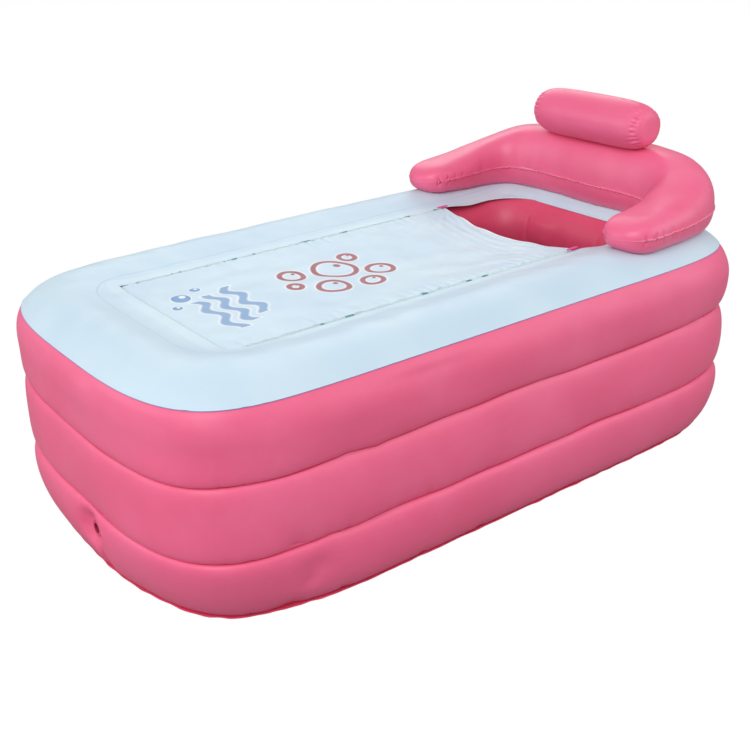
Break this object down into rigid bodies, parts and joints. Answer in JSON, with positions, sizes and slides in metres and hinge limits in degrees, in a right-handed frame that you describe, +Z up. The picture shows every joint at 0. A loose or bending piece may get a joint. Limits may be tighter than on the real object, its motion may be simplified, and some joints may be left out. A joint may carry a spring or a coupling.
{
  "type": "inflatable bathtub",
  "caption": "Free-standing inflatable bathtub with stacked air rings, a zip-open cover, a horseshoe backrest and a head pillow.",
  "frame": {"origin": "on the floor, under the middle of the tub", "axes": "+Z up, +X along the tub towards the head end with the backrest and pillow, +Y to the right of someone lying in it"},
  "size_m": [1.4537, 0.823, 0.6947],
  "materials": {
    "pink_pvc": "satin inflated vinyl with weld creases",
    "deep_pink_pvc": "satin vinyl, deeper pink",
    "cover_blue": "soft pale blue vinyl sheet, slightly wrinkled",
    "zip_tape": "woven tape",
    "zip_coil": "nylon coil",
    "slider_enamel": "enamelled die casting",
    "pull_pink": "moulded plastic tab",
    "valve_vinyl": "milky soft moulding"
  },
  "bodies": {
    "tub": {"base_sheet": "deep_pink_pvc", "bottom_ring": "pink_pvc", "middle_ring": "pink_pvc", "top_ring": "pink_pvc", "floor_cushion": "deep_pink_pvc", "cover_deck": "cover_blue", "backrest": "pink_pvc", "head_pillow": "pink_pvc", "drain_tube": "deep_pink_pvc", "bottom_ring_valve": "valve_vinyl", "middle_ring_valve": "valve_vinyl", "top_ring_valve": "valve_vinyl", "floor_valve": "valve_vinyl", "backrest_valve": "valve_vinyl", "pillow_valve": "valve_vinyl", "zip_tape_deck_left": "zip_tape", "zip_coil_deck_left": "zip_coil", "zip_tape_deck_right": "zip_tape", "zip_coil_deck_right": "zip_coil"},
    "flap": {"cover_flap": "cover_blue", "zip_tape_flap_left": "zip_tape", "zip_tape_flap_right": "zip_tape", "zip_coil_flap_left": "zip_coil", "zip_coil_flap_right": "zip_coil"},
    "slider_left": {"zip_slider_left": "slider_enamel"},
    "pull_left": {"zip_pull_left": "pull_pink"},
    "slider_right": {"zip_slider_right": "slider_enamel"},
    "pull_right": {"zip_pull_right": "pull_pink"},
    "bottom_ring_stopper_body": {"bottom_ring_stopper": "valve_vinyl"},
    "middle_ring_stopper_body": {"middle_ring_stopper": "valve_vinyl"},
    "top_ring_stopper_body": {"top_ring_stopper": "valve_vinyl"},
    "floor_stopper_body": {"floor_stopper": "valve_vinyl"},
    "backrest_stopper_body": {"backrest_stopper": "valve_vinyl"},
    "pillow_stopper_body": {"pillow_stopper": "valve_vinyl"},
    "drain_stopper_body": {"drain_stopper": "valve_vinyl"}
  },
  "joints": [
    {"name": "flap_lift", "type": "hinge", "parent": "tub", "child": "flap", "pos_m": [-0.505, 0, 0.4395], "axis": [0, -1, 0], "range_deg": [0, 150]},
    {"name": "zip_slide_left", "type": "slide", "parent": "flap", "child": "slider_left", "axis": [-1, 0, 0], "range_m": [0, 0.76]},
    {"name": "pull_flip_left", "type": "hinge", "parent": "slider_left", "child": "pull_left", "pos_m": [0.316, -0.208, 0.44], "axis": [0, -1, 0], "range_deg": [0, 165]},
    {"name": "zip_slide_right", "type": "slide", "parent": "flap", "child": "slider_right", "axis": [-1, 0, 0], "range_m": [0, 0.76]},
    {"name": "pull_flip_right", "type": "hinge", "parent": "slider_right", "child": "pull_right", "pos_m": [0.316, 0.208, 0.44], "axis": [0, -1, 0], "range_deg": [0, 165]},
    {"name": "bottom_ring_stopper_open", "type": "hinge", "parent": "tub", "child": "bottom_ring_stopper_body", "pos_m": [0.72125, 0.15, 0.08227], "axis": [0, -1, 0], "range_deg": [0, 105]},
    {"name": "middle_ring_stopper_open", "type": "hinge", "parent": "tub", "child": "middle_ring_stopper_body", "pos_m": [0.72301, 0.15, 0.22319], "axis": [0, -1, 0], "range_deg": [0, 105]},
    {"name": "top_ring_stopper_open", "type": "hinge", "parent": "tub", "child": "top_ring_stopper_body", "pos_m": [0.72461, 0.15, 0.36801], "axis": [0, -1, 0], "range_deg": [0, 105]},
    {"name": "floor_stopper_open", "type": "hinge", "parent": "tub", "child": "floor_stopper_body", "pos_m": [-0.43038, 0.03357, 0.04335], "axis": [0, -1, 0], "range_deg": [0, 105]},
    {"name": "backrest_stopper_open", "type": "hinge", "parent": "tub", "child": "backrest_stopper_body", "pos_m": [0.69995, 0, 0.55092], "axis": [0, -1, 0], "range_deg": [0, 105]},
    {"name": "pillow_stopper_open", "type": "hinge", "parent": "tub", "child": "pillow_stopper_body", "pos_m": [0.66124, 0.09, 0.64079], "axis": [0, -1, 0], "range_deg": [0, 105]},
    {"name": "drain_stopper_open", "type": "hinge", "parent": "tub", "child": "drain_stopper_body", "pos_m": [-0.52491, -0.04, 0.10925], "axis": [0, -1, 0], "range_deg": [0, 105]}
  ]
}
